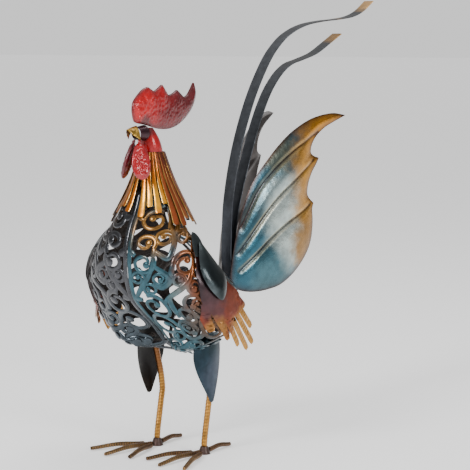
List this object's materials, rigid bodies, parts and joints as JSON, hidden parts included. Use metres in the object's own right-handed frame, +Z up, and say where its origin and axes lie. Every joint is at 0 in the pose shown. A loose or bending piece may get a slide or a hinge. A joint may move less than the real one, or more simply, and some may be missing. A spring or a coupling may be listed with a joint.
{
  "type": "rooster statue",
  "caption": "Standing rooster of painted sheet metal and rod, with a pierced scrollwork body, a red comb, hanging hackle strips, fanned wings, domed tail plates and long sickle ribbons.",
  "frame": {"origin": "middle of the outer box, at the floor that the feet stand on", "axes": "+Z up; the rooster faces -Y; its left side is +X"},
  "size_m": [0.206, 0.5394, 0.56],
  "materials": {
    "teal_metal": "satin patina",
    "orange_gold": "satin lacquer",
    "copper_brown": "satin lacquer",
    "red_enamel": "gloss enamel",
    "gold_leaf": "satin",
    "plum_dark": "satin",
    "slate_metal": "satin",
    "mauve_copper": "satin patina",
    "sea_metal": "satin patina",
    "grey_steel": "satin",
    "tan_rod": "satin",
    "dark_teal": "satin patina"
  },
  "bodies": {
    "root": {"body_shell_left": "teal_metal", "body_shell_right": "teal_metal", "hackle_cape_lower": "orange_gold", "hackle_cape_upper": "copper_brown", "comb": "red_enamel", "wattle_left": "red_enamel", "wattle_right": "red_enamel", "face_hood": "red_enamel", "beak": "gold_leaf", "beak_collar": "plum_dark", "wing_shoulder_left": "slate_metal", "wing_shoulder_right": "slate_metal", "wing_covert_left": "slate_metal", "wing_covert_right": "slate_metal", "wing_fan_left": "mauve_copper", "wing_fan_right": "mauve_copper", "tail_plate_left": "sea_metal", "tail_plate_right": "sea_metal", "sickle_front": "grey_steel", "sickle_rear": "grey_steel", "leg_left": "tan_rod", "leg_right": "tan_rod", "foot_pad_left": "tan_rod", "foot_pad_right": "tan_rod", "toe_inner_left": "tan_rod", "toe_inner_right": "tan_rod", "toe_middle_left": "tan_rod", "toe_middle_right": "tan_rod", "toe_outer_left": "tan_rod", "toe_outer_right": "tan_rod", "toe_back_left": "tan_rod", "toe_back_right": "tan_rod", "thigh_left": "dark_teal", "thigh_right": "dark_teal"}
  },
  "joints": []
}
